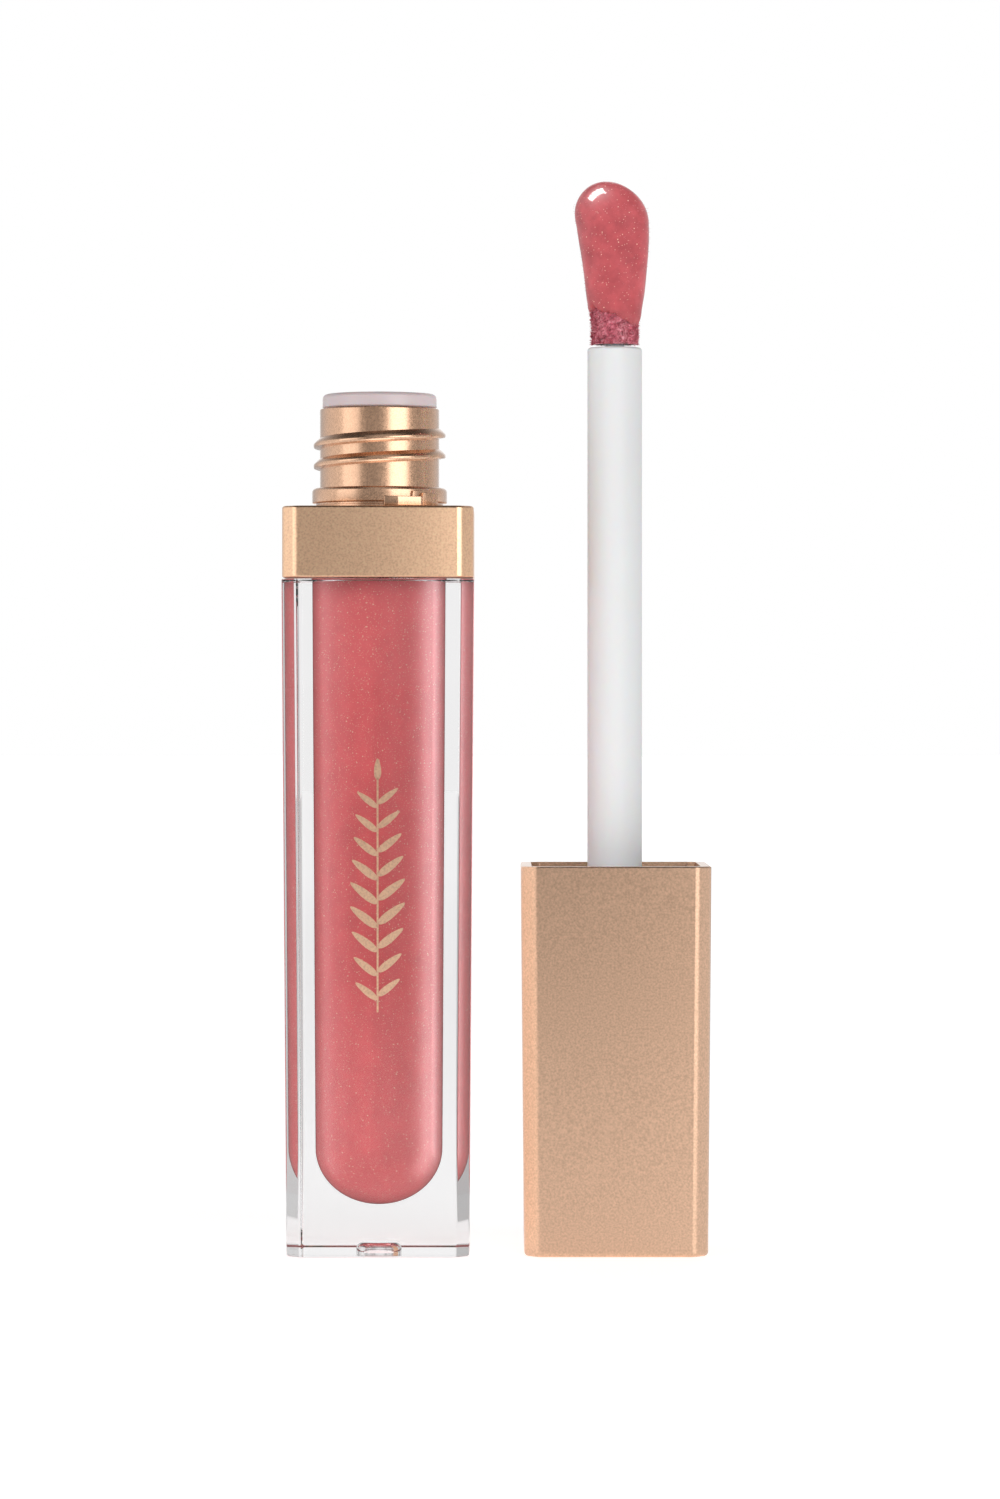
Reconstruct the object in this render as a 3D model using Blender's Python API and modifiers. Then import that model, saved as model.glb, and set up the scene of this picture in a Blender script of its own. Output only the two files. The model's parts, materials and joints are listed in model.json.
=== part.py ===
"""Lip gloss tube: a thick-walled clear square bottle, and beside it the square cap, stood on its closed end
with its wand up.

Units are metres, +Z is up and the front faces -Y. The origin lies midway between the outer sides of the bottle
and the cap, on the surface that both stand on. The bottle's pieces are drawn about the bottle's own axis, with
z counted from its base. The cap's pieces are drawn about the cap's own axis, with z counted from its closed end.
"""

import math

import bmesh
import bpy

MM = 0.001
FIT = 0.15 * MM  # the gap between two pieces that fit together

# The outside, which sets everything else.
COLLAR_WIDTH = 18.0 * MM
BOTTLE_BASE_WIDTH = 17.2 * MM
BOTTLE_TOP_WIDTH = 18.1 * MM
CAP_END_WIDTH = 17.3 * MM
CAP_RIM_WIDTH = 17.9 * MM
CORNER_CHAMFER = 1.25 * MM
AXIS_SPACING = 22.4 * MM  # from the bottle's axis to the cap's, as they stand side by side

# The bottle, by height above its base.
BODY_TOP = 63.65 * MM
BOSS_TOP = 67.0 * MM
BOSS_RADIUS = 7.6 * MM
CAVITY_TOP_RADIUS = 6.3 * MM
CAVITY_LOW_RADIUS = 6.0 * MM
CAVITY_FLOOR = 4.35 * MM
BOWL_HEIGHT = 5.4 * MM
GATE_RADIUS = 2.05 * MM
GATE_DEPTH = 0.9 * MM
BASE_ROUND = 0.45 * MM

# The collar and the threaded neck, by height above the bottle's base.
COLLAR_TOP = 70.5 * MM
COLLAR_PLATE = 1.6 * MM
COLLAR_ROUND = 0.3 * MM
FLANGE_TOP = 72.45 * MM
FLANGE_RADIUS = 6.43 * MM
FLANGE_FOOT = 70.95 * MM
SHANK_RADIUS = 6.2 * MM
NECK_TOP = 80.0 * MM
NECK_RADIUS = 5.68 * MM
NECK_BORE_RADIUS = 4.55 * MM

# The right-hand thread. Its height is that of the crest, where it passes the +X side of the neck.
THREAD_PITCH = 1.96 * MM
THREAD_CREST_RADIUS = 6.29 * MM
THREAD_HEIGHT = 75.5 * MM
THREAD_FIRST, THREAD_LAST = -270.0, 450.0  # degrees from that +X crossing
THREAD_FADE = 50.0  # degrees over which each end rises
THREAD_ABOVE, THREAD_BELOW = 0.66 * MM, 0.22 * MM  # how far each flank runs along the axis
CREST_HALF = 0.11 * MM

# The lug that stops the cap square with the bottle, in degrees about the neck, 0 at +X and -90 at the front.
LUG_RADIUS = 6.85 * MM
LUG_START, LUG_STEP, LUG_END = -83.0, -53.0, -34.0
LUG_LOW_TOP = 71.42 * MM
LUG_HIGH_TOP = 71.82 * MM

# The wiper, by height above the bottle's base.
WIPER_TOP = 81.4 * MM
WIPER_FLANGE_RADIUS = 5.42 * MM
WIPER_SLEEVE_RADIUS = NECK_BORE_RADIUS - FIT
WIPER_BORE_RADIUS = 3.85 * MM
WIPER_LIP_RADIUS = 2.95 * MM
WIPER_LIP_TOP = 74.2 * MM
WIPER_LIP_END = 72.0 * MM

# The cap, by height above its closed end.
CAP_HEIGHT = 36.65 * MM
CAP_WALL = 1.0 * MM
CAP_END_WALL = 1.2 * MM
CAP_ROUND = 0.45 * MM
CAP_SEAT_GAP = 0.2 * MM  # between the rim and the collar once the tube is closed
MOUTH_RECESS = 0.5 * MM
INNER_FLANGE = 2.3 * MM
INNER_BODY_RADIUS = 7.25 * MM
SOCKET_RADIUS = THREAD_CREST_RADIUS + 0.22 * MM
RECESS_RADIUS = LUG_RADIUS + 0.25 * MM
SEAT_THICKNESS = 1.4 * MM
STEM_SOCKET_RADIUS = 3.9 * MM
STEM_SOCKET_END = 11.0 * MM
CORE_HOLE_RADIUS = 1.2 * MM
WEIGHT_RADII = 2.5 * MM, 7.0 * MM
WEIGHT_HEIGHTS = 1.5 * MM, 7.5 * MM
GASKET_RADII = 2.75 * MM, 5.6 * MM
GASKET_THICKNESS = 1.0 * MM

# The cap's own thread, which lies under the neck's ridge when the tube is closed.
CAP_THREAD_CREST_RADIUS = NECK_RADIUS + 0.2 * MM
CAP_THREAD_DROP = 0.775 * MM  # how far its crest lies below the neck's
CAP_THREAD_FIRST, CAP_THREAD_LAST = 211.0, 661.0  # degrees, counted as the neck's are
CAP_THREAD_FLANKS = 0.15 * MM, 0.5 * MM
CAP_CREST_HALF = 0.12 * MM
STOP_RIB = -31.5, -18.5  # degrees, in the closed tube

# The wand, by height above the cap's closed end.
STEM_RADIUS = 2.6 * MM
STEM_BORE_RADIUS = 1.5 * MM
STEM_TOP = 86.0 * MM
STEM_ROUND = 0.3 * MM
PIN_RADIUS = 0.9 * MM
PIN_HEIGHTS = 82.5 * MM, 90.5 * MM
PIN_HOLE_RADIUS = 1.1 * MM

# The doe-foot tip, by height above the stem's end.
TIP_LENGTH = 15.7 * MM
TIP_BASE_HALF = 2.33 * MM
TIP_WIDEST_HALF = 3.54 * MM
TIP_NECK_END = 2.2 * MM
TIP_WIDEST_AT = 12.0 * MM
TIP_LEAN = 0.85 * MM  # how far the top leans to -X
TIP_LEAN_FROM = 9.0 * MM
TIP_DEPTH_RATIO = 0.76
COAT_START = 3.2 * MM
COAT_THICKNESS = 0.35 * MM
FLOCK_THICKNESS = 0.4 * MM

# How the tube closes: the cap turns over, the wand goes down, and the cap screws on.
SCREW_TURNS = 1.5
SCREW_TRAVEL = SCREW_TURNS * THREAD_PITCH
WAND_TRAVEL = 75.5 * MM

ROUND_STEPS = 48
HIDDEN_STEPS = 32
TIP_SIDES = 24

# Worked out from the sizes above.
SIDE_OFFSET = (BOTTLE_TOP_WIDTH - CAP_RIM_WIDTH) / 4
BOTTLE_X = SIDE_OFFSET - AXIS_SPACING / 2
CAP_X = SIDE_OFFSET + AXIS_SPACING / 2
CLOSED_HEIGHT = COLLAR_TOP + CAP_SEAT_GAP + CAP_HEIGHT
TURN_OVER_X = (BOTTLE_X + CAP_X) / 2
TURN_OVER_Z = (CLOSED_HEIGHT + WAND_TRAVEL + SCREW_TRAVEL) / 2
SEAT_HEIGHT = CLOSED_HEIGHT - WIPER_TOP - GASKET_THICKNESS - 2 * FIT
MOUTH_HEIGHT = CAP_HEIGHT - MOUTH_RECESS


# ---------------------------------------------------------------- tools


def clear_scene():
    for old in list(bpy.data.objects):
        bpy.data.objects.remove(old, do_unlink=True)


def new_collection(name):
    made = bpy.data.collections.new(name)
    bpy.context.scene.collection.children.link(made)
    return made


def new_material(name, colour, roughness, metallic=0.0, transmission=0.0):
    made = bpy.data.materials.new(name)
    made.use_nodes = True
    shader = made.node_tree.nodes["Principled BSDF"]
    shader.inputs["Base Color"].default_value = (*colour, 1.0)
    shader.inputs["Roughness"].default_value = roughness
    shader.inputs["Metallic"].default_value = metallic
    shader.inputs["Transmission Weight"].default_value = transmission
    return made


def new_axis(name, location, parent=None):
    """An empty that stands on a piece's axis, placed relative to its parent."""
    made = bpy.data.objects.new(name, None)
    bpy.context.scene.collection.objects.link(made)
    made.parent = parent
    made.location = location
    return made


def place(mesh_or_bmesh, name, group, material=None):
    """Makes an object from a mesh, in group's collection and on group's axis."""
    mesh = mesh_or_bmesh
    if isinstance(mesh_or_bmesh, bmesh.types.BMesh):
        mesh = bpy.data.meshes.new(name)
        mesh_or_bmesh.to_mesh(mesh)
        mesh_or_bmesh.free()
    made = bpy.data.objects.new(name, mesh)
    group["collection"].objects.link(made)
    made.parent = group["axis"]
    if material:
        mesh.materials.append(material)
    else:
        made.hide_render = True
        made.display_type = "WIRE"
    return made


def combine(piece, other, operation):
    modifier = piece.modifiers.new(other.name, "BOOLEAN")
    modifier.operation = operation
    modifier.object = other


def block(low_width, high_width, low, high, chamfer, low_round=0.0, high_round=0.0):
    """A square block whose sides taper from low_width to high_width, its upright corners cut flat."""
    mesh = bmesh.new()
    bmesh.ops.create_cube(mesh, size=1.0)
    for vertex in mesh.verts:
        width, height = (high_width, high) if vertex.co.z > 0 else (low_width, low)
        vertex.co.x *= width
        vertex.co.y *= width
        vertex.co.z = height
    upright = [e for e in mesh.edges if abs(e.verts[0].co.z - e.verts[1].co.z) > (high - low) / 2]
    bmesh.ops.bevel(mesh, geom=upright, offset=chamfer, segments=1, profile=0.5, affect="EDGES")
    for height, radius in ((low, low_round), (high, high_round)):
        if radius:
            rim = [e for e in mesh.edges if all(abs(v.co.z - height) < radius / 100 for v in e.verts)]
            bmesh.ops.bevel(mesh, geom=rim, offset=radius, segments=3, profile=0.5, affect="EDGES")
    return mesh


def turned(profile, name, group, material=None, steps=ROUND_STEPS, closed=True):
    """A turned solid. The profile is (radius, height) points, top to bottom on the outer side."""
    mesh = bpy.data.meshes.new(name)
    count = len(profile)
    last = count if closed else count - 1
    mesh.from_pydata([(r, 0.0, z) for r, z in profile], [(i, (i + 1) % count) for i in range(last)], [])
    made = place(mesh, name, group, material)
    screw = made.modifiers.new("turn", "SCREW")
    screw.steps = screw.render_steps = steps
    screw.use_merge_vertices = True
    screw.merge_threshold = 0.002 * MM
    return made


def bowl_profile(gap, top):
    """The cavity's outline, drawn in by gap: its tapered wall from the height top, then its oval floor."""
    floor_end = CAVITY_FLOOR + BOWL_HEIGHT
    slope = (CAVITY_TOP_RADIUS - CAVITY_LOW_RADIUS) / (BODY_TOP - floor_end)
    points = [(0.0, top), (CAVITY_LOW_RADIUS - gap + slope * (top - floor_end), top)]
    for i in range(11):
        angle = math.radians(9 * i)
        radius, depth = (CAVITY_LOW_RADIUS - gap) * math.cos(angle), (BOWL_HEIGHT - gap) * math.sin(angle)
        points.append((radius, floor_end - depth))
    points[-1] = (0.0, points[-1][1])
    return points


def ring_profile(inner, outer, low, high):
    return [(outer, high), (outer, low), (inner, low), (inner, high)]


def arc(centre, radius, first, last, count):
    """Points (radius, height) along an arc, with its angles in degrees, 0 outward and 90 up."""
    angles = [math.radians(first + (last - first) * i / count) for i in range(count + 1)]
    return [(centre[0] + radius * math.cos(a), centre[1] + radius * math.sin(a)) for a in angles]


def loft(sections):
    """A closed solid through equal-sized loops of points, each loop counter-clockwise about the way they go."""
    mesh = bmesh.new()
    loops = [[mesh.verts.new(point) for point in section] for section in sections]
    count = len(loops[0])
    for here, there in zip(loops, loops[1:]):
        for i in range(count):
            j = (i + 1) % count
            mesh.faces.new((here[i], here[j], there[j], there[i]))
    mesh.faces.new(reversed(loops[0]))
    mesh.faces.new(loops[-1])
    bmesh.ops.recalc_face_normals(mesh, faces=mesh.faces)
    return mesh


def smooth_step(value):
    value = min(max(value, 0.0), 1.0)
    return value * value * (3 - 2 * value)


def thread_ridge(first, last, crest_height, root, crest, flanks, half, steps_per_turn=ROUND_STEPS):
    """A helical ridge from root to crest radius, sunk into the wall, its two ends faded out.

    Angles are in degrees, and crest_height(angle) is the height of the crest's middle. flanks are the lengths
    along the axis of the flank above the crest and of the one below it.
    """
    sunk = math.copysign(0.25 * MM, root - crest)
    count = round((last - first) / 360 * steps_per_turn)
    sections = []
    for i in range(count + 1):
        degrees = first + (last - first) * i / count
        rise = smooth_step(min(degrees - first, last - degrees) / THREAD_FADE)
        tip = root + sunk / 4 + (crest - root - sunk / 4) * rise
        middle = crest_height(degrees)
        above, below = flanks[0] + half, flanks[1] + half
        outline = (
            (root + sunk, middle + above),
            (root + sunk / 8, middle + above),
            (tip, middle + half),
            (tip, middle - half),
            (root + sunk / 8, middle - below),
            (root + sunk, middle - below),
        )
        angle = math.radians(degrees)
        sections.append([(r * math.cos(angle), r * math.sin(angle), z) for r, z in outline])
    return loft(sections)


def curved_block(inner, outer, first, last, low, high):
    """Part of a ring between two angles in degrees."""
    sections = []
    count = 6
    for i in range(count + 1):
        angle = math.radians(first + (last - first) * i / count)
        outline = ring_profile(inner, outer, low, high)
        sections.append([(r * math.cos(angle), r * math.sin(angle), z) for r, z in outline])
    return loft(sections)


# ---------------------------------------------------------------- the bottle


def neck_crest(degrees):
    return THREAD_HEIGHT + THREAD_PITCH * degrees / 360


def add_bottle_body(group, cutters, material):
    bottle = place(
        block(BOTTLE_BASE_WIDTH, BOTTLE_TOP_WIDTH, 0.0, BODY_TOP, CORNER_CHAMFER, BASE_ROUND),
        "outer_bottle",
        group,
        material,
    )
    sunk = 2 * MM
    boss = [(0.0, BOSS_TOP), (BOSS_RADIUS, BOSS_TOP), (BOSS_RADIUS, BODY_TOP - sunk), (0.0, BODY_TOP - sunk)]
    combine(bottle, turned(boss, "boss", cutters, closed=False), "UNION")
    cavity = bowl_profile(0.0, BOSS_TOP + sunk)
    combine(bottle, turned(cavity, "cavity", cutters, closed=False), "DIFFERENCE")
    rounding = 0.35 * MM
    dome = arc((GATE_RADIUS - rounding, GATE_DEPTH - rounding), rounding, 90, 0, 3)
    gate = [(0.0, GATE_DEPTH), *dome, (GATE_RADIUS, -sunk), (0.0, -sunk)]
    combine(bottle, turned(gate, "gate_recess", cutters, steps=HIDDEN_STEPS, closed=False), "DIFFERENCE")
    return bottle


def add_gloss(group, material):
    return turned(bowl_profile(FIT, BODY_TOP - FIT), "gloss_fill", group, material, closed=False)


def add_collar(group, cutters, material):
    low = BODY_TOP + FIT
    body = block(COLLAR_WIDTH, COLLAR_WIDTH, low, COLLAR_TOP, CORNER_CHAMFER, 0.0, COLLAR_ROUND)
    collar = place(body, "collar", group, material)
    bore, hole = BOSS_RADIUS + 2 * FIT, SHANK_RADIUS + FIT
    ledge, past = COLLAR_TOP - COLLAR_PLATE, 2 * MM
    inside = [
        (0.0, COLLAR_TOP + past),
        (hole, COLLAR_TOP + past),
        (hole, ledge),
        (bore, ledge),
        (bore, low - past),
        (0.0, low - past),
    ]
    combine(collar, turned(inside, "collar_bore", cutters, closed=False), "DIFFERENCE")
    return collar


def add_neck(group, cutters, material):
    """The neck: a plug in the bottle's mouth, a hidden flange, the flange that shows, and the threaded part."""
    hidden_top = COLLAR_TOP - COLLAR_PLATE - FIT
    hidden_low = BOSS_TOP + FIT
    edge = 0.15 * MM
    profile = [
        (NECK_BORE_RADIUS, NECK_TOP),
        (NECK_RADIUS - edge, NECK_TOP),
        (NECK_RADIUS, NECK_TOP - edge),
        (NECK_RADIUS, FLANGE_TOP),
        *arc((FLANGE_RADIUS - 2 * edge, FLANGE_TOP - 2 * edge), 2 * edge, 90, 0, 3),
        (FLANGE_RADIUS, FLANGE_FOOT),
        (SHANK_RADIUS, FLANGE_FOOT),
        (SHANK_RADIUS, hidden_top),
        (BOSS_RADIUS, hidden_top),
        (BOSS_RADIUS, hidden_low),
        (CAVITY_TOP_RADIUS - FIT, hidden_low),
        (CAVITY_TOP_RADIUS - FIT, BODY_TOP + 2 * FIT),
        (NECK_BORE_RADIUS, BODY_TOP + 2 * FIT),
    ]
    neck = turned(profile, "threaded_neck", group, material)
    ridge = thread_ridge(
        THREAD_FIRST,
        THREAD_LAST,
        neck_crest,
        NECK_RADIUS,
        THREAD_CREST_RADIUS,
        (THREAD_ABOVE, THREAD_BELOW),
        CREST_HALF,
    )
    combine(neck, place(ridge, "neck_thread", cutters), "UNION")
    inside, foot = FLANGE_RADIUS - 0.6 * MM, COLLAR_TOP + FIT
    low = curved_block(inside, LUG_RADIUS, LUG_START, LUG_END, foot, LUG_LOW_TOP)
    high = curved_block(inside, LUG_RADIUS, LUG_STEP, LUG_END, foot, LUG_HIGH_TOP)
    combine(neck, place(low, "lug_ledge", cutters), "UNION")
    combine(neck, place(high, "lug_stop", cutters), "UNION")
    return neck


def add_wiper(group, material):
    edge = 0.35 * MM
    under = NECK_TOP + FIT
    profile = [
        (WIPER_BORE_RADIUS + edge, WIPER_TOP),
        *arc((WIPER_FLANGE_RADIUS - edge, WIPER_TOP - edge), edge, 90, 0, 3),
        (WIPER_FLANGE_RADIUS, under),
        (WIPER_SLEEVE_RADIUS, under),
        (WIPER_SLEEVE_RADIUS, WIPER_LIP_TOP - edge),
        (WIPER_LIP_RADIUS + edge, WIPER_LIP_END),
        (WIPER_LIP_RADIUS, WIPER_LIP_END),
        (WIPER_LIP_RADIUS, WIPER_LIP_END + edge),
        (WIPER_BORE_RADIUS, WIPER_LIP_TOP + edge),
        (WIPER_BORE_RADIUS, WIPER_TOP - 2 * edge),
    ]
    return turned(profile, "wiper", group, material)


# ---------------------------------------------------------------- the cap


def add_over_cap(group, cutters, material):
    shell = block(CAP_END_WIDTH, CAP_RIM_WIDTH, 0.0, CAP_HEIGHT, CORNER_CHAMFER, CAP_ROUND, 0.15 * MM)
    cap = place(shell, "over_cap", group, material)
    past = 2 * MM
    slope = (CAP_RIM_WIDTH - CAP_END_WIDTH) / CAP_HEIGHT
    widths = [CAP_END_WIDTH - 2 * CAP_WALL + slope * z for z in (CAP_END_WALL, CAP_HEIGHT + past)]
    inside = block(*widths, CAP_END_WALL, CAP_HEIGHT + past, CORNER_CHAMFER - CAP_WALL / 2)
    combine(cap, place(inside, "cap_inside", cutters), "DIFFERENCE")
    return cap


def cap_crest(degrees):
    """The crest height of the cap's thread, from the cap's closed end, at an angle about the closed tube."""
    return CLOSED_HEIGHT - (neck_crest(degrees) - CAP_THREAD_DROP)


def turned_over(degrees):
    """Where an angle about the closed tube lies on the cap as it stands on its end, unscrewed."""
    return 180.0 - degrees - 360.0 * SCREW_TURNS


def add_inner_cap(group, cutters, material):
    """The threaded liner, with a socket for the stem and a hole in that socket's end."""
    past = 2 * MM
    body_low = SEAT_HEIGHT - SEAT_THICKNESS
    stem_hole = STEM_RADIUS + FIT
    socket_floor = STEM_SOCKET_END + SEAT_THICKNESS
    recess_low = MOUTH_HEIGHT - (FLANGE_TOP - COLLAR_TOP)
    outside = [
        (0.0, MOUTH_HEIGHT - INNER_FLANGE / 2),
        (INNER_BODY_RADIUS, MOUTH_HEIGHT - INNER_FLANGE / 2),
        (INNER_BODY_RADIUS, body_low),
        (STEM_SOCKET_RADIUS, body_low),
        (STEM_SOCKET_RADIUS, STEM_SOCKET_END),
        (0.0, STEM_SOCKET_END),
    ]
    liner = turned(outside, "inner_cap", group, material, closed=False)
    width = CAP_RIM_WIDTH - 2 * CAP_WALL - 3 * FIT
    flange = block(width, width, MOUTH_HEIGHT - INNER_FLANGE, MOUTH_HEIGHT, CORNER_CHAMFER / 2)
    combine(liner, place(flange, "liner_flange", cutters), "UNION")
    for index in range(8):
        fin = grip_fin(index, body_low)
        combine(liner, place(fin, f"grip_fin_{index + 1}", cutters), "UNION")
    inside = [
        (0.0, MOUTH_HEIGHT + past),
        (RECESS_RADIUS, MOUTH_HEIGHT + past),
        (RECESS_RADIUS, recess_low),
        (SOCKET_RADIUS, recess_low),
        (SOCKET_RADIUS, SEAT_HEIGHT),
        (stem_hole, SEAT_HEIGHT),
        (stem_hole, socket_floor),
        (CORE_HOLE_RADIUS, socket_floor),
        (CORE_HOLE_RADIUS, STEM_SOCKET_END - past),
        (0.0, STEM_SOCKET_END - past),
    ]
    combine(liner, turned(inside, "liner_inside", cutters, closed=False), "DIFFERENCE")
    ridge = thread_ridge(
        turned_over(CAP_THREAD_LAST),
        turned_over(CAP_THREAD_FIRST),
        lambda degrees: cap_crest(180.0 - degrees - 360.0 * SCREW_TURNS),
        SOCKET_RADIUS,
        CAP_THREAD_CREST_RADIUS,
        (CAP_THREAD_FLANKS[1], CAP_THREAD_FLANKS[0]),
        CAP_CREST_HALF,
    )
    combine(liner, place(ridge, "cap_thread", cutters), "UNION")
    first, last = turned_over(STOP_RIB[1]), turned_over(STOP_RIB[0])
    rib = curved_block(
        FLANGE_RADIUS + FIT, RECESS_RADIUS + 0.3 * MM, first, last, recess_low - FIT, MOUTH_HEIGHT - FIT
    )
    combine(liner, place(rib, "stop_rib", cutters), "UNION")
    return liner


def grip_fin(index, low):
    """One of eight fins, in a pair on each side, that hold the liner in the square cap."""
    half_thickness, apart = 0.4 * MM, 2.5 * MM
    reach = (CAP_END_WIDTH - 2 * CAP_WALL) / 2 - FIT
    side, offset = divmod(index, 2)
    middle = apart if offset else -apart
    outline = [
        (INNER_BODY_RADIUS - 1.0 * MM, middle - half_thickness),
        (reach, middle - half_thickness),
        (reach, middle + half_thickness),
        (INNER_BODY_RADIUS - 1.0 * MM, middle + half_thickness),
    ]
    turn = math.radians(90 * side)
    cos, sin = math.cos(turn), math.sin(turn)
    heights = low + 1.0 * MM, MOUTH_HEIGHT - INNER_FLANGE / 2
    return loft([[(x * cos - y * sin, x * sin + y * cos, z) for x, y in outline] for z in heights])


def add_stem(group, material):
    low = STEM_SOCKET_END + SEAT_THICKNESS + FIT
    profile = [
        (STEM_BORE_RADIUS, STEM_TOP - FIT),
        *arc((STEM_RADIUS - STEM_ROUND, STEM_TOP - FIT - STEM_ROUND), STEM_ROUND, 90, 0, 4),
        (STEM_RADIUS, low),
        (STEM_BORE_RADIUS, low),
    ]
    return turned(profile, "wand_stem", group, material)


def tip_half_width(height):
    """Half the doe-foot's width at a height above its base, up to its widest place."""
    share = min(max((height - TIP_NECK_END) / (TIP_WIDEST_AT - TIP_NECK_END), 0.0), 1.0)
    swell = 0.6 * share + 0.4 * math.sin(share * math.pi / 2)
    return TIP_BASE_HALF + (TIP_WIDEST_HALF - TIP_BASE_HALF) * swell


def tip_form(inset, low, rows=7, cap_rows=5):
    """The doe-foot as a loft, drawn in by inset(height), from a height above its base to its round top."""

    def oval(height, half):
        lean = -TIP_LEAN * max((height - TIP_LEAN_FROM) / (TIP_LENGTH - TIP_LEAN_FROM), 0.0) ** 1.5
        angles = [2 * math.pi * i / TIP_SIDES for i in range(TIP_SIDES)]
        z = STEM_TOP + height
        return [(lean + half * math.cos(a), half * TIP_DEPTH_RATIO * math.sin(a), z) for a in angles]

    sections = []
    for i in range(rows):
        height = low + (TIP_WIDEST_AT - low) * i / rows
        sections.append(oval(height, tip_half_width(height) - inset(height)))
    top_inset = inset(TIP_LENGTH)
    for i in range(cap_rows):
        angle = math.radians(80 * i / (cap_rows - 1))
        height = TIP_WIDEST_AT + (TIP_LENGTH - TIP_WIDEST_AT - top_inset) * math.sin(angle)
        sections.append(oval(height, (TIP_WIDEST_HALF - top_inset) * math.cos(angle)))
    return loft(sections)


def flock_inset(height):
    """The flock shows at full width near the stem, and lies under the gloss above that."""
    under_gloss = COAT_THICKNESS + FIT
    return under_gloss * smooth_step((height - COAT_START + 1.0 * MM) / (0.8 * MM))


def add_tip(cap, cutters, materials):
    """The doe-foot's soft core, its flock and the gloss on it, one inside the next."""
    below = -2 * MM
    core = place(tip_form(lambda z: flock_inset(z) + FLOCK_THICKNESS + FIT, FIT), "tip_core", cap, materials["core"])
    hole = ring_profile(0.0, PIN_HOLE_RADIUS, STEM_TOP + below, PIN_HEIGHTS[1] + FIT)
    combine(core, turned(hole, "pin_hole", cutters, steps=HIDDEN_STEPS), "DIFFERENCE")

    flock = place(tip_form(flock_inset, FIT), "tip_flock", cap, materials["flock"])
    inside = place(tip_form(lambda z: flock_inset(z) + FLOCK_THICKNESS, below), "flock_inside", cutters)
    combine(flock, inside, "DIFFERENCE")

    coat = place(tip_form(lambda z: 0.0, COAT_START), "gloss_coat", cap, materials["gloss"])
    inside = place(tip_form(lambda z: COAT_THICKNESS, below), "coat_inside", cutters)
    combine(coat, inside, "DIFFERENCE")
    return core, flock, coat


# ---------------------------------------------------------------- the whole


def main():
    clear_scene()
    pieces, helpers = new_collection("lip_gloss_tube"), new_collection("cutters")
    bottle_axis = new_axis("bottle_axis", (BOTTLE_X, 0.0, 0.0))
    turn_over_axis = new_axis("turn_over_axis", (TURN_OVER_X, 0.0, TURN_OVER_Z))
    cap_axis = new_axis("cap_axis", (CAP_X - TURN_OVER_X, 0.0, -TURN_OVER_Z), turn_over_axis)
    bottle = {"axis": bottle_axis, "collection": pieces}
    bottle_cutters = {"axis": bottle_axis, "collection": helpers}
    cap = {"axis": cap_axis, "collection": pieces}
    cap_cutters = {"axis": cap_axis, "collection": helpers}

    gold = new_material("gold_lacquer", (0.60, 0.36, 0.21), 0.35, metallic=0.9)
    clear = new_material("clear_plastic", (0.96, 0.96, 0.96), 0.03, transmission=1.0)
    gloss = new_material("pink_gloss", (0.60, 0.16, 0.18), 0.2)
    wiper = new_material("milky_plastic", (0.75, 0.68, 0.70), 0.4)
    white = new_material("white_plastic", (0.82, 0.82, 0.83), 0.35)
    flock = new_material("wet_flock", (0.55, 0.14, 0.20), 0.6)
    foam = new_material("white_foam", (0.85, 0.85, 0.84), 0.8)
    steel = new_material("plated_steel", (0.55, 0.55, 0.56), 0.35, metallic=1.0)

    add_bottle_body(bottle, bottle_cutters, clear)
    add_gloss(bottle, gloss)
    add_collar(bottle, bottle_cutters, gold)
    add_neck(bottle, bottle_cutters, gold)
    add_wiper(bottle, wiper)

    add_over_cap(cap, cap_cutters, gold)
    add_inner_cap(cap, cap_cutters, white)
    turned(ring_profile(*WEIGHT_RADII, *WEIGHT_HEIGHTS), "cap_weight", cap, steel, steps=HIDDEN_STEPS)
    gasket_low = SEAT_HEIGHT + FIT + SCREW_TRAVEL
    gasket = ring_profile(*GASKET_RADII, gasket_low, gasket_low + GASKET_THICKNESS)
    turned(gasket, "cap_gasket", cap, foam, steps=HIDDEN_STEPS)
    add_stem(cap, white)
    turned(ring_profile(0.0, PIN_RADIUS, *PIN_HEIGHTS), "tip_pin", cap, white, steps=HIDDEN_STEPS // 2)
    add_tip(cap, cap_cutters, {"core": foam, "flock": flock, "gloss": gloss})


main()
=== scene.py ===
"""The looks of the open lip gloss tube.

A clear square bottle with a gold neck stands beside its gold cap, whose wand points up.
Metres, +Z up, front towards -Y. Sizes that the CAD holds are read from the frame.
"""

import json
import math
import random

import bmesh
import bpy
from mathutils import Matrix, Vector, noise

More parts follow.
